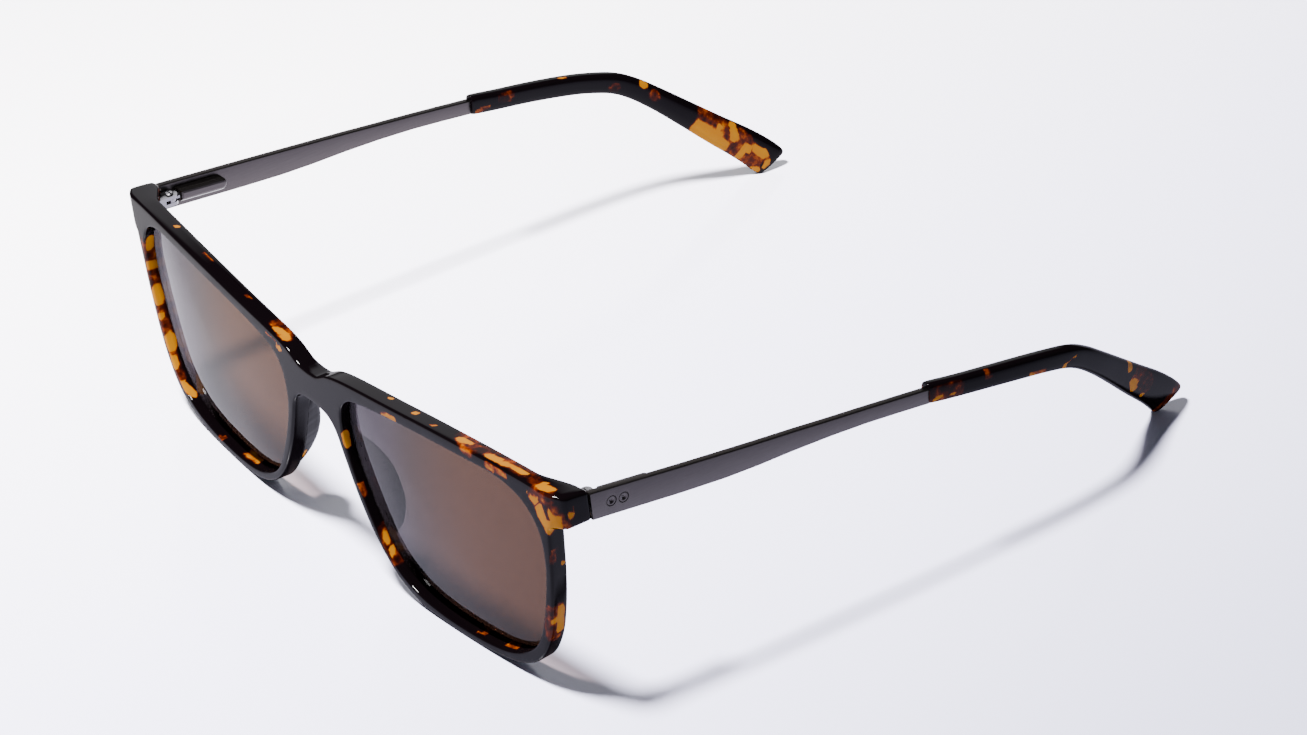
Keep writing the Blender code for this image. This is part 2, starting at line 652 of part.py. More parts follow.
def add_tip(name, side, surface):
    """The acetate tip with its blind channel: one skin from the rear end forwards, and back along the channel."""
    count = 16
    rows = tip_path()
    first = (TIP_START + GAP, *rows[0][1:])
    outer = [section(x, TEMPLE_Y + place, z, height, thick, slope, 2.7, count)
             for place, x, z, height, thick, slope in [first, *rows[1:]]]
    verts, faces = loft(outer)
    tip = add_object(f"temple_tip_{name}", *mirrored((verts, faces), side), surface, smooth_angle=40,
                     origin=(side * HINGE_X, HINGE_Y, HINGE_Z))
    rows = core_rows(CORE_END)
    channel = core_rings(rows, GAP)
    end = channel[-1]
    behind = Vector(end[0]) - Vector(channel[-2][0])
    ahead = [Vector(p) - Vector((0, 2, 0)) for p in channel[0]]
    channel = [ahead, *channel[:-1], [Vector(p) + behind.normalized() * 0.2 for p in end]]
    boolean(tip, add_cutter(f"cutter_core_{name}", *mirrored(loft(channel), side)))
    return tip


def add_rivet(label, name, side, place, surface):
    """A flush head with a dimple, on a shank that ends in the housing."""
    depth = BLADE_THICKNESS - 0.02
    profile = ((0.12, -0.28), (0.42, -0.1), (0.6, -0.02), (RIVET_RADIUS - 0.08, -0.02), (RIVET_RADIUS, -0.1),
               (RIVET_RADIUS, -depth), (RIVET_SHANK, -depth), (RIVET_SHANK, -depth - 0.25))
    rings = []
    for radius, height in profile:
        rings.append([(radius * math.cos(2 * math.pi * k / 14), radius * math.sin(2 * math.pi * k / 14), height)
                      for k in range(14)])
    shape = moved(loft(rings), rivet_matrix(place))
    return add_object(f"rivet_{label}_{name}", *mirrored(shape, side), surface)


# ---- the whole object ----
def add_empty(name, where):
    empty = bpy.data.objects.new(name, None)
    empty.location = Vector(where) * MM
    bpy.context.scene.collection.objects.link(empty)
    return empty


def main():
    clear_scene()
    tortoise = material("tortoise_acetate", (0.06, 0.02, 0.01), 0.12)
    tint = material("tinted_lens", (0.3, 0.24, 0.22), 0.03, transmission=0.8)
    gunmetal = material("gunmetal", (0.12, 0.11, 0.12), 0.35, metallic=1.0)
    nickel = material("nickel", (0.7, 0.69, 0.67), 0.22, metallic=1.0)
    steel = material("spring_steel", (0.5, 0.5, 0.5), 0.3, metallic=1.0)
    front = add_front(tortoise)
    for name, side in SIDES:
        hinge = add_empty(f"temple_axis_{name}", (side * HINGE_X, HINGE_Y, HINGE_Z))
        bpy.context.view_layer.update()
        fixed = [add_lens(name, side, tint), add_nose_pad(name, side, tortoise),
                 add_front_hinge(name, side, nickel), add_hinge_screw(name, side, nickel)]
        moving = [add_slider(name, side, nickel), add_spring(name, side, steel), add_housing(name, side, gunmetal),
                  add_blade(name, side, gunmetal), add_tip(name, side, tortoise)]
        bush = collar(ROD_RADIUS + 0.06, BORE_RADIUS - GAP, HOUSING_START + 0.1, HOUSING_START + BUSH_LENGTH)
        moving.append(add_object(f"guide_bush_{name}", *mirrored(bush, side), nickel))
        end = ROD_END - 0.1
        stop = collar(ROD_RADIUS + 0.03, RETAINER_RADIUS, end - RETAINER_LENGTH, end)
        moving.append(add_object(f"spring_retainer_{name}", *mirrored(stop, side), nickel))
        for label, place in zip(("front", "rear"), RIVET_PLACES):
            moving.append(add_rivet(label, name, side, place, gunmetal))
        for piece in fixed:
            parent_to(piece, front)
        for piece in moving:
            parent_to(piece, hinge)
        parent_to(hinge, front)


main()
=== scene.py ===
"""The looks of the sunglasses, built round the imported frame.

Shapes are in millimetres in the frame's own axes: +X is the wearer's left, -Y is forwards and +Z is up.
"""
import math

import bmesh
import bpy
from mathutils import Matrix, Vector


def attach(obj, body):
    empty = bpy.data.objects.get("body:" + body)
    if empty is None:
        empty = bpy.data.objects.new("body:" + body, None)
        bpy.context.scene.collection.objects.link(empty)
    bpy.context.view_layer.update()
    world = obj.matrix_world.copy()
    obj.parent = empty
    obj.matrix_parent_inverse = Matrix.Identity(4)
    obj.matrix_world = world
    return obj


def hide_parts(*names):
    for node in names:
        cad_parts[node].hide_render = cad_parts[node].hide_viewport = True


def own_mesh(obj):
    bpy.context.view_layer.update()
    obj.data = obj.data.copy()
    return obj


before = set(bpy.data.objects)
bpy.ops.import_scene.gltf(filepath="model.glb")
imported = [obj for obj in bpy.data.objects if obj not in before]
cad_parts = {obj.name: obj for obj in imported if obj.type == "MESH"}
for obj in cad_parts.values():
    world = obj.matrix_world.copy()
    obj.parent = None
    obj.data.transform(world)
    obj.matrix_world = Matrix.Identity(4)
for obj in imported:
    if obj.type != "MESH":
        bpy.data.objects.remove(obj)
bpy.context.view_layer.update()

MM = 0.001
SIDES = (("left", 1), ("right", -1))

# ---- the same dimensions as the CAD model ----
HINGE_Z, TEMPLE_Y = 40.15, -64.92
FACE_Y, FACE_Z, FACE_RADIUS, FACE_TILT = -77.52, 42.24, 470.0, 0.0764
SHEET, END_DEPTH = 3.7, 2.75
END_OUTER_X, END_TOP_Z, END_BOTTOM_Z = 70.5, 43.75, 37.25
END_WRAP, END_FALL = 1.4, 0.5
GROOVE_DEPTH, GROOVE_MIDDLE = 0.55, 2.75
LENS_THICKNESS, LENS_DOME = 1.5, 1.3
BLADE_THICKNESS, TIP_START = 1.45, 71.8
TEMPLE_DROP, TEMPLE_FLARE = 0.1, 0.035
RIVET_PLACES = (3.5, 6.0)
PAD_SPLAY = 0.5

# ---- the finer dimensions of the surface ----
FRONT_ROUND, RIM_ROUND = 0.5, 0.38
END_INNER_X, END_NOTCH = 67.3, 0.3
END_CORNERS = (0.9, 0.6, 1.4)                   # the radii of an end piece's top, lower and inner corner
END_CORNER_REACH = 1.2                          # the brow's own points stop this far from the top corner
END_BLEND_X, END_BLEND_SLOPE, END_FULL_X = 62.0, 0.6, 68.4
END_WRAP_X, END_FALL_Z = 66.8, 40
OUTLINE_STEP, FACE_STEP = 0.9, 1.4
EDGE_LOOPS = (1.2, 1.9, 2.5)                    # depths of the extra loops round the front's edge
BACK_EASE = 0.1                                 # each opening widens by this much at its back edge
LENS_GAP, LENS_CENTRE, LENS_RINGS, LENS_LAST_RING = 0.02, (37.0, 22.5), 14, 0.97
PAINTED_REFLECTION_SLOPE, PAINTED_REFLECTION_TOPS = 1.5, {1: 0.8, -1: 1.0}  # the painted reflection's fading across each lens and its strength, by side
NOSE_REACH, NOSE_TOP_Z = 30, 31                 # the stretch of each outline that the nose pad follows
PAD_STEP, PAD_ROOT = 0.45, 0.3
BLADE_ROUND, BLADE_STEP = 0.22, 1.0
RIVET_LIFT, RIVET_HOLE_RADIUS, RIVET_HOLE_SIDES = 0.1, 1.04, 32
RIVET_HOLE_ENDS = (-2.2, 1.0)
TIP_POWER, TIP_SIDES = 3.2, 40                  # the superellipse of a tip's section
FLOOR_SIZE, FLOOR_DROP = 12, 0.00004            # in metres

# outlines of one half as (x, z): the front's upper edge, its lower edge and the lens opening
BROW = (
    (0, 38.1), (2.6, 38.3), (4.4, 39.1), (6.6, 40.2), (10.2, 41.1), (16, 41.9), (25, 42.8), (37, 43.8),
    (50, 44.35), (61, 44.35), (END_OUTER_X, END_TOP_Z),
)
RIM = (
    (66.9, 31.5), (66.3, 24.5), (65.2, 17.5), (63.4, 10.8), (60.0, 5.0), (54.3, 1.6), (47.5, 0.3),
    (41, 0.0), (34, 0.05), (27, 0.75), (20.6, 3.7), (15.3, 9.3), (11.3, 16.4), (8.3, 24.2), (6.9, 28.2),
    (5.2, 30.5), (2.7, 31.4), (0, 31.6),
)
OPENING = (
    (9.2, 30.0), (9.8, 34.6), (12.5, 37.6), (16.6, 38.9), (22.5, 39.9), (30, 40.8), (38, 41.4),
    (46, 41.85), (53, 42.05), (58, 41.3), (62, 38.9), (64.5, 34.6), (65.0, 28.5), (64.2, 22),
    (62.7, 15.4), (60.6, 9.6), (57.4, 5.8), (52.6, 3.2), (47, 2.05), (40.5, 1.65), (33.4, 1.75),
    (26.8, 2.7), (21.2, 5.2), (17.2, 9.0), (13.9, 15.0), (11.2, 21.2), (9.7, 26),
)
# the nose pad's ribs: (z, how far it stands out, thickness)
PAD_RIBS = (
    (28.0, 0.3, 1.2), (26.2, 1.9, 1.9), (23.0, 3.5, 2.7), (19.2, 4.2, 3.1), (15.2, 3.9, 3.0),
    (11.8, 2.5, 2.3), (9.6, 0.4, 1.3),
)
# the blade along the temple: (place, outer x, top z, bottom z)
BLADE = (
    (-0.55, 70.53, 42.6, 37.1), (3, 70.66, 42.25, 36.8), (18, 71.18, 40.7, 35.4),
    (27, 71.42, 39.8, 34.7), (34, 71.57, 39.1, 34.45), (42, 71.7, 38.35, 34.4), (50, 71.83, 37.5, 34.15),
    (58, 71.93, 36.7, 33.65), (65, 72.0, 35.95, 32.95), (TIP_START, 72.05, 35.2, 32.2),
)
# the tip along the temple: (place, x, z, height, thickness, slope in degrees)
TIP = (
    (TIP_START, 71.1, 34.15, 3.4, 2.2, 0), (72.5, 71.1, 34.05, 4.15, 2.5, 1),
    (78, 71.2, 33.15, 4.1, 2.7, 7), (86, 71.25, 32.0, 4.1, 2.8, 8.5),
    (94, 71.05, 30.7, 4.15, 2.85, 10.5), (100, 70.65, 29.5, 4.15, 2.9, 14),
    (106, 69.9, 27.8, 4.3, 2.95, 22), (110.5, 69.0, 25.4, 4.45, 3.0, 32),
    (115.5, 67.8, 21.7, 4.7, 3.0, 38), (121, 66.2, 17.2, 5.3, 3.0, 39.5),
    (127, 64.5, 12.2, 6.1, 2.95, 40), (132.6, 63.1, 7.7, 6.8, 2.9, 44),
    (136.3, 62.1, 4.45, 7.3, 2.8, 53), (138.2, 61.5, 2.5, 7.6, 2.6, 61),
    (139.0, 61.25, 1.7, 7.2, 2.2, 63), (139.5, 61.1, 1.4, 6.0, 1.3, 64),
)

# ---- patches in the acetate: (from, to, radius, depth of colour); 1 is amber, 0.48 red, 0.44 brown ----
FRONT_PATCHES = (
    # the wearer's left half: along the brow
    ((23, -74.6, 42.6), (23.8, -74.3, 42.7), 0.35, 1),
    ((31.1, -74.6, 43.4), (31.3, -74.3, 43.4), 0.6, 1),
    ((36.6, -74.8, 43.8), (37.5, -74.5, 43.8), 0.35, 1),
    ((44.2, -73.9, 44.2), (46.4, -73.5, 44.2), 0.6, 0.9),
    ((46.5, -75, 44), (48.7, -75, 44.1), 0.6, 0.49), ((44, -73, 44.2), (48, -74, 44.3), 1.6, 0.45),
    ((51.9, -73.4, 44.4), (54.3, -73.0, 44.4), 0.55, 1), ((55, -73, 44.4), (58, -72.4, 44.4), 0.4, 0.6),
    ((58.5, -72.2, 44.4), (60.7, -71.8, 44.4), 0.5, 1), ((50, -73, 44.4), (63, -71.5, 44.4), 1.2, 0.44),
    ((53, -74.8, 43.4), (57.4, -74.1, 43.2), 0.8, 0.485),
    ((23.4, -76.9, 40.9), (27.6, -76.7, 41.2), 0.5, 0.6),
    # the temporal corner and its side
    ((65.6, -71.8, 44.1), (66.9, -71.2, 43.9), 0.9, 1),
    ((65.0, -70.9, 44.1), (65.2, -71.1, 44.1), 0.55, 1),
    ((63, -73.3, 42.3), (65.1, -72.9, 41.2), 0.5, 0.6),
    ((65.2, -72.9, 41.2), (65.8, -72.7, 39.4), 0.6, 1),
    ((65.8, -72.7, 39.4), (66.6, -72.4, 36.9), 0.65, 1),
    ((67.3, -72, 36.6), (68.7, -71.6, 38.2), 1.15, 1), ((67.9, -72.5, 40.4), (69, -72, 41.3), 0.4, 0.7),
    ((70.5, -69.8, 39.9), (70.5, -69.1, 39.6), 0.6, 1),
    ((70.5, -69.3, 41.3), (70.5, -69, 41.3), 0.6, 0.47),
    ((66.2, -72.9, 42.5), (69, -72, 37.5), 2.5, 0.45),
    # round the rim
    ((66.7, -70.9, 31.6), (66.7, -71.2, 29.4), 0.7, 0.45),
    ((66.3, -69, 28.2), (66.3, -68.9, 27.9), 0.5, 0.7),
    ((64.9, -69, 17.6), (63.8, -68.7, 12.8), 0.75, 1),
    ((64.9, -70.6, 15.8), (64.6, -69.4, 15.6), 0.6, 0.7),
    ((64.8, -70, 18), (63.5, -69.6, 12), 1.6, 0.45), ((42, -71.4, 1.7), (43.4, -70.8, 1.8), 0.6, 0.485),
    ((49.4, -70.3, 2.4), (52.2, -69.9, 3.1), 0.6, 0.5),
    ((9.2, -75.8, 29.2), (9.5, -75.6, 26.9), 0.75, 1),
    ((11.9, -75.1, 19.6), (12.8, -74.8, 17.6), 0.6, 0.475),
    ((15.8, -73.3, 10.6), (16.8, -73.7, 9.2), 0.45, 1),
    ((17.8, -73.2, 8.1), (19.0, -73.8, 7.0), 0.45, 0.9),
    ((15.6, -73.4, 11.4), (19.8, -73.5, 6.2), 1.1, 0.445),
    # the wearer's right half
    ((-50.9, -72.8, 44.4), (-50.6, -72.5, 44.4), 0.5, 1),
    ((-39.9, -73.6, 44), (-36, -73.8, 43.8), 0.4, 0.475),
    ((-23.4, -74.8, 42.7), (-21.8, -74.6, 42.5), 0.35, 0.485),
    ((-11.7, -75.9, 41.5), (-9.3, -75.4, 41), 0.6, 1), ((-8.8, -75.8, 40.8), (-9.4, -75.5, 41), 0.7, 1),
    ((-13, -74.8, 41.6), (-9, -75.5, 40.9), 1.3, 0.445),
    ((-10.4, -77.2, 39.6), (-8.9, -77.2, 38.8), 0.6, 0.9),
    ((-13, -77.2, 40.4), (-11.3, -77.2, 39.6), 0.5, 0.5),
    ((-64, -71.4, 35.6), (-64.5, -71.3, 33.4), 0.8, 1),
    ((-65, -71.8, 29.4), (-64.9, -70.2, 29.3), 0.6, 1),
    ((-64.4, -70.9, 24), (-64.1, -70.9, 21.6), 1.0, 1),
    ((-63.6, -71.2, 18.6), (-63.5, -70.9, 18.5), 0.6, 1),
    ((-62.3, -70.3, 14), (-61.8, -70.4, 12.6), 1.15, 1), ((-60.8, -70.9, 10), (-60.3, -71, 8.8), 0.7, 1),
    ((-57.4, -71, 5.9), (-55.3, -70.2, 4.5), 0.8, 1),
    ((-42.8, -72.1, 1.7), (-42.3, -71.9, 1.7), 0.7, 0.475),
    ((-34.6, -71.9, 1.7), (-30.1, -72.1, 2.1), 0.7, 0.49),
    ((-65.2, -71, 36), (-64.4, -71, 20), 1.4, 0.455), ((-64.3, -71, 20), (-59, -71, 7), 1.4, 0.455),
)
PAD_PATCHES = (
    ((-13.2, -71.2, 12.6), (-13.8, -71.4, 11.2), 0.35, 0.8),
    ((13.2, -70.8, 20.5), (13, -71, 19), 0.9, 1),
)
LEFT_TIP_PATCHES = (
    ((66.5, 59.9, 18.6), (66.9, 59.5, 16.5), 0.8, 1), ((66.4, 60.5, 13.4), (65.9, 61.3, 11), 0.75, 1),
    ((65, 64, 8.1), (64.9, 64.4, 7.9), 0.45, 0.9), ((71.5, 39.3, 27.2), (71.5, 39.2, 26.5), 0.5, 1),
    ((71.5, 40, 27.8), (71.2, 42.3, 27.9), 0.3, 0.52), ((72.3, 30.5, 29.2), (72, 34.1, 28.4), 0.5, 0.5),
    ((72.5, 20.2, 34), (72.5, 20.3, 32.8), 0.8, 0.465), ((72.3, 7.9, 32.7), (72.4, 9.4, 33), 0.3, 0.7),
    ((72.5, 11.8, 32.6), (72.5, 12.7, 32.5), 0.28, 0.6), ((62.6, 76, 5), (62.8, 70.6, 1), 1.0, 0.46),
    ((65.9, 62.5, 13.5), (65, 65.5, 10), 1.8, 0.435), ((72.4, 8, 33.5), (72.4, 13, 33), 1.6, 0.44),
)
RIGHT_TIP_PATCHES = (
    ((-64, 57.7, 13.7), (-62.7, 62.6, 8.7), 1.7, 1), ((-62.8, 65.8, 12.4), (-62.1, 66, 9.6), 0.75, 1),
    ((-63.1, 62.6, 13.1), (-63.1, 62.8, 12.9), 0.6, 0.6),
    ((-64.8, 59.1, 17.9), (-63.9, 61, 16), 0.9, 0.475),
    ((-61.8, 66.3, 5.3), (-61.5, 67.9, 6.4), 0.65, 1), ((-61.5, 67.9, 6.4), (-61.1, 70.2, 6), 0.65, 1),
    ((-61.1, 70.2, 6), (-60.6, 72.2, 4.7), 0.65, 1), ((-60.6, 72.2, 4.7), (-60.2, 73, 2.3), 0.75, 1),
    ((-60.2, 73, 2.3), (-60.2, 71.8, 1.5), 0.5, 1), ((-61, 67.2, 2.0), (-60.5, 70.2, 1.2), 0.7, 0.9),
    ((-63.3, 60, 15), (-61, 69.5, 4.2), 2.3, 0.455), ((-62.5, 65, 11), (-62, 68, 8), 1.8, 0.45),
    ((-67.6, 47, 26.6), (-67.5, 47.4, 26.2), 0.85, 0.6),
    ((-66.8, 48.9, 23.8), (-66.5, 49.4, 23), 1.0, 0.46),
    ((-68.5, 40.2, 27.6), (-68.4, 41, 27.4), 0.9, 0.45),
    ((-70.8, 28.4, 32.9), (-70.6, 30.2, 32.7), 0.4, 0.53),
    ((-69.9, 8.1, 32.7), (-69.9, 10.6, 33), 0.6, 0.475),
    ((-69.9, 14, 33.6), (-69.9, 16, 33.4), 1.0, 0.44),
)

# ---- colours, from the lowest value of what drives them to the highest ----
ACETATE_COLOURS = (
    (0.0, (0.0012, 0.0007, 0.001)), (0.38, (0.0014, 0.0007, 0.001)), (0.43, (0.008, 0.0012, 0.0008)),
    (0.465, (0.035, 0.004, 0.0006)), (0.49, (0.10, 0.017, 0.0003)), (0.525, (0.185, 0.066, 0.0)),
    (1.0, (0.20, 0.080, 0.0)),
)
# how much the acetate's colour is darkened on faces that look up: painted shade, so the key light lights
# the tops no brighter than the sides
ACETATE_PAINTED_TOP_SHADE = 0.42
# the lens's own tint at low values and a painted reflection at high values, lighter and less clear,
# strongest towards each lens's lowest x
LENS_TINT_AND_REFLECTION = (
    (0.0, (0.029, 0.0148, 0.0085)), (0.45, (0.0188, 0.0138, 0.0122)), (0.75, (0.030, 0.025, 0.029)),
    (1.0, (0.082, 0.075, 0.086)),
)
LENS_CLEARNESS = ((0.5, (1.0, 1.0, 1.0)), (1.0, (0.4, 0.4, 0.4)))
LENS_SHADOW = (0.42, 0.37, 0.35, 1)
# the table's lavender white darkens along this way: painted light falloff, as if lit more from one side
TABLE_PAINTED_FALLOFF_WAY = (-3.3, -0.2, 0.0)
TABLE_PAINTED_FALLOFF = ((0.0, (0.34, 0.345, 0.46)), (0.5, (0.62, 0.615, 0.78)), (1.0, (0.97, 0.95, 1.0)))
GUNMETAL, NICKEL, STEEL = (0.035, 0.0308, 0.0297), (0.12, 0.117, 0.12), (0.2, 0.2, 0.2)
PANEL_WAY = (-0.80, 0.52, 0.30)
ROOM_COLOURS = (
    (0.2, (0.034, 0.035, 0.038)), (0.6, (0.032, 0.032, 0.036)), (0.8, (0.008, 0.008, 0.009)),
    (0.945, (0.008, 0.008, 0.009)), (0.975, (0.95, 0.95, 1.0)),
)
ROOM_STRENGTH = 5.0


# ---- geometry helpers ----
def catmull_rom(points, per_span, closed=False):
    """A smooth curve through the points, which may have any number of coordinates."""
    count = len(points)
    spans = count if closed else count - 1
    found = []
    for i in range(spans):
        if closed:
            p0, p1, p2, p3 = (points[(i + k - 1) % count] for k in range(4))
        else:
            p1, p2 = points[i], points[i + 1]
            p0 = points[i - 1] if i else tuple(2 * a - b for a, b in zip(p1, p2))
            p3 = points[i + 2] if i + 2 < count else tuple(2 * b - a for a, b in zip(p1, p2))
        for k in range(per_span):
            t = k / per_span
            found.append(tuple(
                0.5 * (2 * b + (c - a) * t + (2 * a - 5 * b + 4 * c - d) * t * t
                       + (3 * b - a - 3 * c + d) * t ** 3)
                for a, b, c, d in zip(p0, p1, p2, p3)))
    if not closed:
        found.append(tuple(float(v) for v in points[-1]))
    return found


def resample(points, step):
    """The same line with its points spaced evenly, about a step apart."""
    lengths = [0.0]
    for a, b in zip(points, points[1:]):
        lengths.append(lengths[-1] + math.dist(a, b))
    count = max(2, round(lengths[-1] / step))
    found = []
    j = 0
    for i in range(count + 1):
        wanted = lengths[-1] * i / count
        while j < len(points) - 2 and lengths[j + 1] < wanted:
            j += 1
        share = (wanted - lengths[j]) / max(lengths[j + 1] - lengths[j], 1e-9)
        found.append(tuple(a + (b - a) * share for a, b in zip(points[j], points[j + 1])))
    return found


def at_station(rows, where):
    """The row at a place along the rows, which are ordered by their first number."""
    for a, b in zip(rows, rows[1:]):
        if where <= b[0]:
            share = (where - a[0]) / (b[0] - a[0])
            return tuple(p + (q - p) * share for p, q in zip(a, b))
    return rows[-1]


def resample_rows(rows, step):
    """Rows of numbers resampled by the distance along their first number."""
    low, high = rows[0][0], rows[-1][0]
    count = max(2, round(abs(high - low) / step))
    found = []
    ordered = rows if high > low else [(-r[0], *r[1:]) for r in rows]
    for k in range(count + 1):
        where = ordered[0][0] + (ordered[-1][0] - ordered[0][0]) * k / count
        row = at_station(ordered, where)
        found.append(row if high > low else (-row[0], *row[1:]))
    return found


def fillet(before, corner, after, radius, steps=6):
    """The arc that rounds a corner, as points in the plane."""
    corner = Vector(corner)
    to_a = (Vector(before) - corner).normalized()
    to_b = (Vector(after) - corner).normalized()
    half = to_a.angle(to_b) / 2
    centre = corner + (to_a + to_b).normalized() * (radius / math.sin(half))
    start = corner + to_a * (radius / math.tan(half)) - centre
    end = corner + to_b * (radius / math.tan(half)) - centre
    turn = start.angle_signed(end)
    return [tuple(centre + Matrix.Rotation(-turn * k / steps, 2) @ start) for k in range(steps + 1)]


def offset(loop, distance):
    """A closed loop moved to its right by the distance; its sharpest corners are held back."""
    moved = []
    for i, point in enumerate(loop):
        a, b, c = Vector(loop[i - 1]), Vector(point), Vector(loop[(i + 1) % len(loop)])
        d1, d2 = (b - a).normalized(), (c - b).normalized()
        n1, n2 = Vector((d1.y, -d1.x)), Vector((d2.y, -d2.x))
        middle = (n1 + n2).normalized()
        moved.append(tuple(b + middle * (distance / max(middle.dot(n1), 0.5))))
    return moved


def smooth_step(value):
    value = min(max(value, 0.0), 1.0)
    return value * value * (3 - 2 * value)


def round_steps(radius, steps=5):
    """The quarter round of an edge as (inset, depth)."""
    turns = [math.pi / 2 * k / steps for k in range(steps + 1)]
    return [(radius * (1 - math.sin(a)), radius * (1 - math.cos(a))) for a in turns]


def superellipse(half_a, half_b, power, count):
    points = []
    for k in range(count):
        angle = 2 * math.pi * (k + 0.5) / count
        c, s = math.cos(angle), math.sin(angle)
        points.append((half_a * math.copysign(abs(c) ** (2 / power), c),
                       half_b * math.copysign(abs(s) ** (2 / power), s)))
    return points


def loft(rings):
    """Rings of equal length joined into a closed skin, as points and faces."""
    count = len(rings[0])
    verts = [tuple(p) for ring in rings for p in ring]
    faces = []
    for k in range(len(rings) - 1):
        for i in range(count):
            j = (i + 1) % count
            faces.append((k * count + i, k * count + j, (k + 1) * count + j, (k + 1) * count + i))
    faces.append(tuple(range(count)))
    faces.append(tuple(range((len(rings) - 1) * count, len(rings) * count)))
    return verts, faces


def mirrored(shape, side):
    verts, faces = shape
    return [(side * x, y, z) for x, y, z in verts], faces


def add_mesh(name, verts, faces, material, smooth_angle):
    mesh = bpy.data.meshes.new(name)
    mesh.from_pydata([Vector(v) * MM for v in verts], [], faces)
    work = bmesh.new()
    work.from_mesh(mesh)
    bmesh.ops.remove_doubles(work, verts=work.verts, dist=1e-7)
    bmesh.ops.recalc_face_normals(work, faces=work.faces)
    if work.calc_volume(signed=True) < 0:
        bmesh.ops.reverse_faces(work, faces=work.faces)
    work.to_mesh(mesh)
    work.free()
    mesh.shade_smooth()
    mesh.set_sharp_from_angle(angle=math.radians(smooth_angle))
    mesh.materials.append(material)
    obj = bpy.data.objects.new(name, mesh)
    bpy.context.scene.collection.objects.link(obj)
    return obj


def add_piece(name, verts, faces, material, smooth_angle, body, replaces, slot):
    obj = add_mesh(name, verts, faces, material, smooth_angle)
    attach(obj, body)
    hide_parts(*replaces)
    return obj


def paint(obj, patches, loose_where):
    """Stores how deep inside a patch each point is: a half at its edge, and less outside.

    A second layer is 1 wherever loose_where(normal) is true: there the acetate may carry loose patches.
    """
    mesh = obj.data
    limbs = []
    for start, end, radius, peak in patches:
        limbs.append((Vector(start), Vector(end) - Vector(start), radius, peak))
    values = []
    loose = []
    for vertex in mesh.vertices:
        point = vertex.co / MM
        best = 0.0
        for start, run, radius, peak in limbs:
            share = min(max((point - start).dot(run) / max(run.length_squared, 1e-9), 0), 1)
            gap = (point - start - run * share).length
            best = max(best, min(peak, 1 - 0.5 * gap / radius))
        values.append(best)
        loose.append(1.0 if loose_where(vertex.normal) else 0.0)
    mesh.attributes.new("amber", "FLOAT", "POINT").data.foreach_set("value", values)
    mesh.attributes.new("loose", "FLOAT", "POINT").data.foreach_set("value", loose)


# ---- materials ----
class Nodes:
    """A short way to write the node tree of a material or a world."""

    def __init__(self, owner):
        owner.use_nodes = True
        self.owner = owner
        self.nodes = owner.node_tree.nodes
        self.links = owner.node_tree.links

    def put(self, node, socket, value):
        target = node.inputs[socket]
        if isinstance(value, bpy.types.NodeSocket):
            self.links.new(value, target)
        else:
            target.default_value = value

    def fill(self, name, **inputs):
        """Sets inputs of a node that the tree has from the start."""
        for key, value in inputs.items():
            self.put(self.nodes[name], key.replace("_", " "), value)

    def add(self, kind, settings=None, **inputs):
        node = self.nodes.new(kind)
        for key, value in (settings or {}).items():
            setattr(node, key, value)
        for key, value in inputs.items():
            self.put(node, key.replace("_", " "), value)
        return node

    def math(self, operation, a, b):
        node = self.add("ShaderNodeMath", {"operation": operation})
        self.put(node, 0, a)
        self.put(node, 1, b)
        return node.outputs[0]

    def vector(self, operation, a, b, output="Vector"):
        node = self.add("ShaderNodeVectorMath", {"operation": operation})
        self.put(node, 0, a)
        self.put(node, 1, b)
        return node.outputs[output]

    def ramp(self, value, stops):
        node = self.add("ShaderNodeValToRGB")
        self.put(node, 0, value)
        elements = node.color_ramp.elements
        while len(elements) < len(stops):
            elements.new(0.5)
        for element, (place, colour) in zip(elements, stops):
            element.position = place
            element.color = (*colour, 1)
        return node.outputs[0]

    def attribute(self, name):
        return self.add("ShaderNodeAttribute", {"attribute_name": name}).outputs["Fac"]

    def place(self):
        return self.add("ShaderNodeTexCoord").outputs["Object"]

    def upward(self):
        """How far the surface faces up."""
        normal = self.add("ShaderNodeTexCoord").outputs["Normal"]
        return self.add("ShaderNodeSeparateXYZ", Vector=normal).outputs["Z"]

    def noise(self, place, **inputs):
        return self.add("ShaderNodeTexNoise", Vector=place, **inputs).outputs["Fac"]


def tortoise():
    """Dark acetate with ragged patches that run from brown and red to amber; the faces that look up
    carry painted shade.
    """
    made = Nodes(bpy.data.materials.new("tortoise_acetate"))
    place = made.place()
    broad = made.noise(place, Scale=480.0, Detail=3.0, Roughness=0.6)
    cells = made.add("ShaderNodeTexVoronoi", {"distance": "CHEBYCHEV"}, Vector=place, Scale=700.0)
    ragged = made.math("MULTIPLY", made.math("SUBTRACT", broad, 0.5), 0.20)
    angular = made.math("MULTIPLY", made.math("SUBTRACT", cells.outputs["Distance"], 0.4), 0.08)
    field = made.math("ADD", made.attribute("amber"), made.math("ADD", ragged, angular))
    stray = made.noise(place, Scale=130.0, Detail=2.5, Roughness=0.55)
    stray = made.math("MULTIPLY", made.math("MULTIPLY", stray, 0.8), made.attribute("loose"))
    colour = made.ramp(made.math("MAXIMUM", field, stray), ACETATE_COLOURS)
    # painted shade: the acetate's colour is darkened on the faces that look up
    shade = made.math("MULTIPLY", made.math("MAXIMUM", made.upward(), 0.0), ACETATE_PAINTED_TOP_SHADE)
    colour = made.vector("MULTIPLY", colour, made.math("SUBTRACT", 1.0, shade))
    made.fill("Principled BSDF", Base_Color=colour, Roughness=0.3, IOR=1.5, Specular_IOR_Level=0.0,
              Coat_Weight=0.09, Coat_IOR=1.5, Coat_Roughness=0.035)
    return made.owner


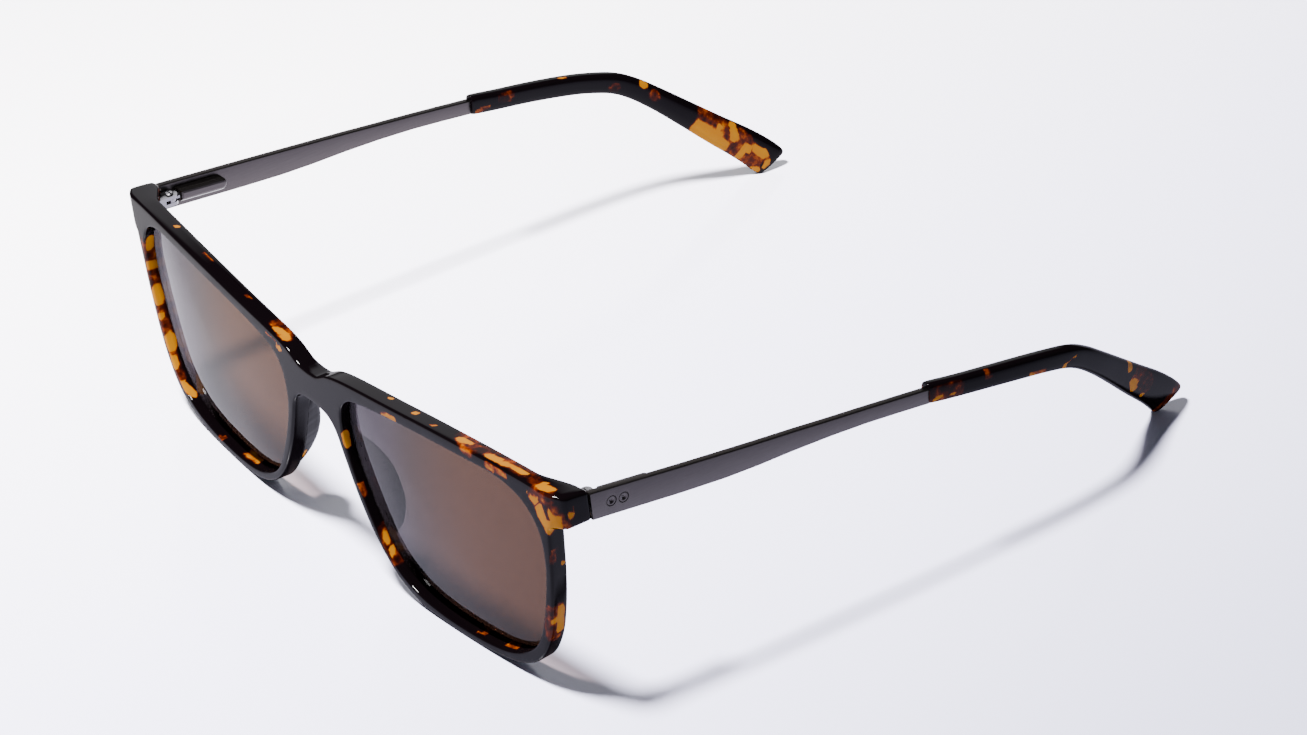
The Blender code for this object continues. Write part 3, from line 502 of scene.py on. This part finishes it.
def tinted_lens():
    """Tinted through, with its shine in the coat, so that the ground edge shows no bright band, and with
    a painted reflection that lightens one side of each lens.
    """
    made = Nodes(bpy.data.materials.new("tinted_lens"))
    painted_reflection = made.attribute("painted_reflection")
    made.fill("Principled BSDF", Base_Color=made.ramp(painted_reflection, LENS_TINT_AND_REFLECTION), Roughness=0.0, IOR=1.03,
              Transmission_Weight=made.ramp(painted_reflection, LENS_CLEARNESS), Coat_Weight=0.085, Coat_IOR=1.5,
              Coat_Roughness=0.0)
    mix = made.add("ShaderNodeMixShader")
    made.put(mix, 0, made.add("ShaderNodeLightPath").outputs["Is Shadow Ray"])
    made.put(mix, 1, made.nodes["Principled BSDF"].outputs[0])
    made.put(mix, 2, made.add("ShaderNodeBsdfTransparent", Color=LENS_SHADOW).outputs[0])
    made.fill("Material Output", Surface=mix.outputs[0])
    return made.owner


def metal(name, colour, roughness, grain, painted_top_shade=1.0):
    """Metal brushed along Y; the last argument paints shade on the faces that look up, darkening their
    colour and their reflection.
    """
    made = Nodes(bpy.data.materials.new(name))
    place = made.place()
    stretched = made.add("ShaderNodeMapping", Vector=place, Scale=(1.0, 0.04, 1.0)).outputs[0]
    lines = made.noise(stretched, Scale=5200.0, Detail=3.0, Roughness=0.6)
    cloud = made.noise(place, Scale=90.0, Detail=2.0)
    level = made.math("ADD", made.math("MULTIPLY", lines, grain), made.math("MULTIPLY", cloud, 0.08))
    rough = made.math("ADD", level, roughness - grain / 2 - 0.04)
    dark = tuple(c * 0.86 for c in colour)
    # painted shade: faces that look up get a darker colour and a weaker reflection
    shade = made.ramp(made.upward(), ((0.6, (1.0, 1.0, 1.0)), (0.95, (painted_top_shade,) * 3)))
    tone = made.vector("MULTIPLY", made.ramp(lines, ((0.3, dark), (0.7, colour))), shade)
    bump = made.add("ShaderNodeBump", Height=lines, Strength=0.05, Distance=0.00002)
    made.fill("Principled BSDF", Base_Color=tone, Roughness=rough, Metallic=1.0, Normal=bump.outputs[0],
              Specular_Tint=shade)
    return made.owner


def tabletop():
    made = Nodes(bpy.data.materials.new("tabletop"))
    place = made.place()
    # painted light falloff: the table's colour darkens from one corner to the other
    level = made.math("ADD", made.vector("DOT_PRODUCT", place, TABLE_PAINTED_FALLOFF_WAY, "Value"), 0.5)
    cloud = made.math("SUBTRACT", made.noise(place, Scale=6.0, Detail=2.0), 0.5)
    level = made.math("ADD", level, made.math("MULTIPLY", cloud, 0.06))
    made.fill("Principled BSDF", Base_Color=made.ramp(level, TABLE_PAINTED_FALLOFF), Roughness=0.16, IOR=1.5)
    return made.owner


# ---- the acetate front ----
def end_share(x, z):
    """How much of a place belongs to an end piece: 0 on the sheet, 1 at the hinge."""
    if z < END_BOTTOM_Z - END_NOTCH / 2:
        return 0.0
    start = END_BLEND_X + (END_TOP_Z - z) * END_BLEND_SLOPE
    return smooth_step((abs(x) - start) / (END_FULL_X - start))


def on_sheet(x, z, depth):
    """A place on the bent and leaning sheet, at a depth behind its front face."""
    share = end_share(x, z)
    level = depth / SHEET
    depth *= 1 + share * END_DEPTH / SHEET
    lean = math.asin(x / FACE_RADIUS)
    y = FACE_Y + x * x / (2 * FACE_RADIUS) + FACE_TILT * (FACE_Z - z) + depth
    outwards = max(0.0, (abs(x) - END_WRAP_X) / (END_OUTER_X - END_WRAP_X))
    y += END_WRAP * share * (1 - level) * outwards ** 2
    fall = END_FALL * share * level * level * smooth_step((z - END_FALL_Z) / (END_TOP_Z - END_FALL_Z))
    return (x - depth * math.sin(lean) * (1 - share), y, z - fall)


def front_outline():
    top, bottom = (END_OUTER_X, END_TOP_Z), (END_OUTER_X, END_BOTTOM_Z)
    inner = (END_INNER_X, END_BOTTOM_Z - END_NOTCH)
    top_radius, bottom_radius, inner_radius = END_CORNERS
    brow = resample(catmull_rom(BROW, 10), OUTLINE_STEP)
    rim = resample(catmull_rom(RIM, 10), OUTLINE_STEP)
    while math.dist(brow[-1], top) < END_CORNER_REACH:
        brow.pop()
    half = brow + fillet(brow[-1], top, bottom, top_radius)
    half += fillet(top, bottom, inner, bottom_radius) + fillet(bottom, inner, rim[0], inner_radius)
    half += rim[:-1]
    half.append((0.0, RIM[-1][1]))
    return half + [(-x, z) for x, z in half[-2:0:-1]]


def opening_outline():
    loop = catmull_rom(OPENING, 10, closed=True)
    return resample(loop + [loop[0]], OUTLINE_STEP)[:-1]


def cut_along(work, axis, low, high):
    """Cuts the sheet across at every step between two places on an axis."""
    where = low
    while where < high:
        geometry = work.verts[:] + work.edges[:] + work.faces[:]
        point = Vector(axis) * where
        bmesh.ops.bisect_plane(work, geom=geometry, plane_co=point, plane_no=axis, dist=1e-4)
        where += FACE_STEP


def add_front(material):
    """The front is made flat, cut across so that it can bend, and then laid on the bent sheet."""
    left = opening_outline()
    right = [(-x, z) for x, z in left][::-1]
    near = round_steps(FRONT_ROUND)
    edge = near + [(0, depth) for depth in EDGE_LOOPS]
    edge += [(inset, SHEET - depth) for inset, depth in reversed(near)]
    groove_half = GROOVE_DEPTH * 1.4
    wall = round_steps(RIM_ROUND, 4) + [
        (0, EDGE_LOOPS[0]), (0, GROOVE_MIDDLE - groove_half), (GROOVE_DEPTH, GROOVE_MIDDLE),
        (0, GROOVE_MIDDLE + groove_half - BACK_EASE / 2), (BACK_EASE, SHEET)]
    work = bmesh.new()
    front_rings, back_rings = [], []
    for loop, steps, sign in ((front_outline(), edge, 1), (left, wall, -1), (right, wall, -1)):
        rings = []
        for inset, depth in steps:
            rings.append([work.verts.new((x, depth, z)) for x, z in offset(loop, inset * sign)])
        for a, b in zip(rings, rings[1:]):
            for i in range(len(loop)):
                j = (i + 1) % len(loop)
                work.faces.new((a[i], a[j], b[j], b[i]))
        front_rings.append(rings[0])
        back_rings.append(rings[-1])
    for loops in (front_rings, back_rings):
        edges = []
        for ring in loops:
            edges += [work.edges.get(pair) for pair in zip(ring, ring[1:] + ring[:1])]
        bmesh.ops.triangle_fill(work, use_beauty=True, edges=edges)
    cut_along(work, (1, 0, 0), -70, 70)
    cut_along(work, (0, 0, 1), 1, 44)
    for vertex in work.verts:
        vertex.co = Vector(on_sheet(vertex.co.x, vertex.co.z, vertex.co.y))
    work.verts.index_update()
    verts = [tuple(v.co) for v in work.verts]
    faces = [tuple(v.index for v in face.verts) for face in work.faces]
    work.free()
    front = add_piece("acetate_front", verts, faces, material, smooth_angle=38, body="front",
                      replaces=("front_frame",), slot="tortoise_acetate")
    paint(front, FRONT_PATCHES, lambda normal: normal.y > 0.6)


def add_lens(name, side, material):
    outline = opening_outline()
    centre_x, centre_z = LENS_CENTRE
    half = LENS_THICKNESS / 2
    edge = offset(outline, LENS_GAP)
    ridge = offset(outline, LENS_GAP - GROOVE_DEPTH)
    shares = [k / LENS_RINGS for k in range(1, LENS_RINGS)] + [LENS_LAST_RING]

    def ring_at(loop, share, depth):
        ring = []
        for x, z in loop:
            x, z = centre_x + (x - centre_x) * share, centre_z + (z - centre_z) * share
            ring.append(on_sheet(x, z, depth - LENS_DOME * (1 - share * share)))
        return ring

    front, back = GROOVE_MIDDLE - half, GROOVE_MIDDLE + half
    rings = [ring_at(edge, share, front) for share in shares]
    rings += [ring_at(edge, 1, front), ring_at(ridge, 1, GROOVE_MIDDLE), ring_at(edge, 1, back)]
    rings += [ring_at(edge, share, back) for share in reversed(shares)]
    lens = add_piece(f"sun_lens_{name}", *mirrored(loft(rings), side), material, smooth_angle=50,
                     body="front", replaces=(f"lens_{name}",), slot="tinted_lens")
    # painted reflection: strongest at each lens's lowest x and fading across it
    points = [v.co.x for v in lens.data.vertices]
    low, high = min(points), max(points)
    painted_reflection = [PAINTED_REFLECTION_TOPS[side] * (1 - smooth_step((x - low) / (high - low) * PAINTED_REFLECTION_SLOPE)) for x in points]
    lens.data.attributes.new("painted_reflection", "FLOAT", "POINT").data.foreach_set("value", painted_reflection)


def rim_middle(z, outer, inner):
    """The middle of the rim beside the nose, and half its width."""
    x_outer = min(outer, key=lambda p: abs(p[1] - z))[0]
    x_inner = min(inner, key=lambda p: abs(p[1] - z))[0]
    return (x_outer + x_inner) / 2, abs(x_inner - x_outer) / 2


def add_nose_pad(name, side, material):
    outer = [p for p in catmull_rom(RIM, 40) if p[0] < NOSE_REACH]
    inner = [p for p in catmull_rom(OPENING, 40, closed=True) if p[0] < NOSE_REACH and p[1] < NOSE_TOP_Z]
    rings = []
    for z, stand, thick in resample_rows(catmull_rom(PAD_RIBS, 12), PAD_STEP):
        middle, half = rim_middle(z, outer, inner)
        half = min(half, thick / 2)
        lean = PAD_SPLAY * stand
        shape = ((-half, 0), (-half - 0.1 + lean * 0.3, stand * 0.4),
                 (lean * 0.85 - thick / 2, stand * 0.8), (lean - thick * 0.2, stand),
                 (lean + thick * 0.3, stand * 0.98), (lean + thick / 2, stand * 0.75),
                 (lean * 0.6 + thick * 0.42, stand * 0.35), (half, 0))
        rings.append([on_sheet(middle + across, z, SHEET - PAD_ROOT + back)
                      for across, back in catmull_rom(shape, 5)])
    pad = add_piece(f"nose_rest_{name}", *mirrored(loft(rings), side), material, smooth_angle=70,
                    body="front", replaces=(f"nose_pad_{name}",), slot="tortoise_acetate")
    paint(pad, PAD_PATCHES, lambda normal: side * normal.x > 0.3)


# ---- the temples ----
def rivet_matrix(place):
    """A frame on the blade's outer face with its Z axis outwards."""
    _, outer_x, top, bottom = at_station(BLADE, place)
    middle = (top + bottom) / 2 + RIVET_LIFT
    along = Matrix.Rotation(-math.atan(TEMPLE_FLARE), 4, "Z")
    outwards = Matrix.Rotation(math.radians(90), 4, "Y")
    return Matrix.Translation((outer_x, TEMPLE_Y + place, middle)) @ along @ outwards


def blade_ring(place, outer_x, top, bottom):
    """The blade's rounded section; its front end leans with the face."""
    y = TEMPLE_Y + place
    lean = FACE_TILT if place < 0 else 0
    inner_x = outer_x - BLADE_THICKNESS
    ring = []
    for cx, cz, start in ((outer_x - BLADE_ROUND, top - BLADE_ROUND, 0),
                          (inner_x + BLADE_ROUND, top - BLADE_ROUND, 90),
                          (inner_x + BLADE_ROUND, bottom + BLADE_ROUND, 180),
                          (outer_x - BLADE_ROUND, bottom + BLADE_ROUND, 270)):
        for k in range(5):
            angle = math.radians(start + 22.5 * k)
            z = cz + BLADE_ROUND * math.sin(angle)
            ring.append((cx + BLADE_ROUND * math.cos(angle), y + lean * (HINGE_Z - z), z))
    return ring


def add_rivet_drill(name, side, place, material):
    matrix = rivet_matrix(place)
    rounds = []
    for height in RIVET_HOLE_ENDS:
        ring = []
        for j in range(RIVET_HOLE_SIDES):
            angle = 2 * math.pi * j / RIVET_HOLE_SIDES
            across, up = RIVET_HOLE_RADIUS * math.cos(angle), RIVET_HOLE_RADIUS * math.sin(angle)
            ring.append(matrix @ Vector((across, up, height)))
        rounds.append(ring)
    return add_mesh(name, *mirrored(loft(rounds), side), material, smooth_angle=40)


def add_blade(name, side, material):
    rings = [blade_ring(*row) for row in resample_rows(BLADE, BLADE_STEP)]
    blade = add_piece(f"temple_arm_{name}", *mirrored(loft(rings), side), material, smooth_angle=30,
                      body=f"temple_{name}", replaces=(f"temple_blade_{name}",), slot="gunmetal")
    drills = []
    for k, place in enumerate(RIVET_PLACES):
        drill = add_rivet_drill(f"drill_{k}_{name}", side, place, material)
        cut = blade.modifiers.new("drill", "BOOLEAN")
        cut.object, cut.solver, cut.operation = drill, "EXACT", "DIFFERENCE"
        drills.append(drill)
    bpy.context.view_layer.update()
    drilled = bpy.data.meshes.new_from_object(blade.evaluated_get(bpy.context.evaluated_depsgraph_get()))
    blade.modifiers.clear()
    blade.data = drilled
    drilled.set_sharp_from_angle(angle=math.radians(30))
    for drill in drills:
        bpy.data.objects.remove(drill, do_unlink=True)


def tip_ring(place, x, z, height, thickness, slope):
    """The tip's section, which leans with its slope."""
    slope = math.radians(slope)
    middle = Vector((x, TEMPLE_Y + place, z))
    up = Vector((0, math.sin(slope), math.cos(slope)))
    return [middle + Vector((a, 0, 0)) + up * b
            for a, b in superellipse(thickness / 2, height / 2, TIP_POWER, TIP_SIDES)]


def add_tip(name, side, material, patches):
    rings = [tip_ring(*row) for row in catmull_rom(TIP, 10)]
    tip = add_piece(f"acetate_tip_{name}", *mirrored(loft(rings), side), material, smooth_angle=50,
                    body=f"temple_{name}", replaces=(f"temple_tip_{name}",), slot="tortoise_acetate")
    paint(tip, patches, lambda normal: normal.x < -0.3)


def add_spring(name, material):
    """A smooth-shaded copy of the coil in spring steel, attached to the slider's body."""
    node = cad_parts[f"hinge_spring_{name}"]
    mesh = node.data.copy()
    mesh.transform(node.matrix_world)
    mesh.shade_smooth()
    mesh.materials.clear()
    mesh.materials.append(material)
    spring = bpy.data.objects.new(f"coil_spring_{name}", mesh)
    bpy.context.scene.collection.objects.link(spring)
    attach(spring, f"slider_{name}")
    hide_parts(f"hinge_spring_{name}")
    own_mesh(spring)


def colour_hardware(name, nickel, gunmetal):
    """Gives the CAD pieces that stay in view their metals."""
    kinds = [(node, nickel) for node in ("front_hinge", "hinge_screw", "hinge_slider", "spring_retainer",
                                         "guide_bush")]
    kinds += [(node, gunmetal) for node in ("spring_housing", "rivet_front", "rivet_rear")]
    for node, material in kinds:
        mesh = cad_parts[f"{node}_{name}"].data
        mesh.shade_smooth()
        mesh.set_sharp_from_angle(angle=math.radians(35))
        mesh.materials.clear()
        mesh.materials.append(material)


# ---- the stage ----
def add_stage(material):
    bpy.ops.mesh.primitive_grid_add(x_subdivisions=8, y_subdivisions=8, size=FLOOR_SIZE,
                                    location=(0, 0, -FLOOR_DROP))
    floor = bpy.context.object
    floor.name = "table_surface"
    floor.data.materials.append(material)


def add_room():
    """A dim room with one bright panel low behind the table, which the polished tops mirror."""
    made = Nodes(bpy.data.worlds.new("studio"))
    way = made.add("ShaderNodeTexCoord").outputs["Generated"]
    colour = made.ramp(made.vector("DOT_PRODUCT", way, PANEL_WAY, "Value"), ROOM_COLOURS)
    made.fill("Background", Color=colour, Strength=ROOM_STRENGTH)
    bpy.context.scene.world = made.owner


def add_key_light():
    data = bpy.data.lights.new("key", "AREA")
    data.shape = "DISK"
    data.size = 0.11
    data.energy = 49
    data.color = (1, 0.985, 0.985)
    lamp = bpy.data.objects.new("key", data)
    lamp.location = (-0.053, -0.23, 0.69)
    lamp.rotation_mode = "QUATERNION"
    lamp.rotation_quaternion = (-lamp.location).to_track_quat("-Z", "Y")
    bpy.context.scene.collection.objects.link(lamp)


def add_camera():
    azimuth, elevation, roll = math.radians(54.592), math.radians(31.299), math.radians(-2.393)
    back = Vector((math.sin(azimuth) * math.cos(elevation), -math.cos(azimuth) * math.cos(elevation),
                   math.sin(elevation)))
    right = (-back).cross(Vector((0, 0, 1))).normalized()
    up = right.cross(-back)
    turned = right * math.cos(roll) + up * math.sin(roll)
    upright = up * math.cos(roll) - right * math.sin(roll)
    data = bpy.data.cameras.new("camera")
    data.lens = 123.9
    data.sensor_width = 36
    data.shift_x, data.shift_y = -0.0007, -0.0013
    data.clip_start, data.clip_end = 0.02, 20
    camera = bpy.data.objects.new("camera", data)
    camera.rotation_mode = "QUATERNION"
    camera.rotation_quaternion = Matrix((turned, upright, back)).transposed().to_quaternion()
    camera.location = (0.59524, -0.42427, 0.45366)
    bpy.context.scene.collection.objects.link(camera)
    bpy.context.scene.camera = camera


def main():
    acetate = tortoise()
    lens = tinted_lens()
    gunmetal = metal("gunmetal", GUNMETAL, roughness=0.33, grain=0.12, painted_top_shade=0.52)
    nickel = metal("nickel", NICKEL, roughness=0.24, grain=0.08)
    steel = metal("spring_steel", STEEL, roughness=0.25, grain=0.06)
    add_front(acetate)
    for name, side in SIDES:
        add_lens(name, side, lens)
        add_nose_pad(name, side, acetate)
        add_blade(name, side, gunmetal)
        add_tip(name, side, acetate, LEFT_TIP_PATCHES if side > 0 else RIGHT_TIP_PATCHES)
        add_spring(name, steel)
        colour_hardware(name, nickel, gunmetal)
    add_stage(tabletop())
    add_room()
    add_key_light()
    add_camera()


main()
bpy.context.view_layer.update()
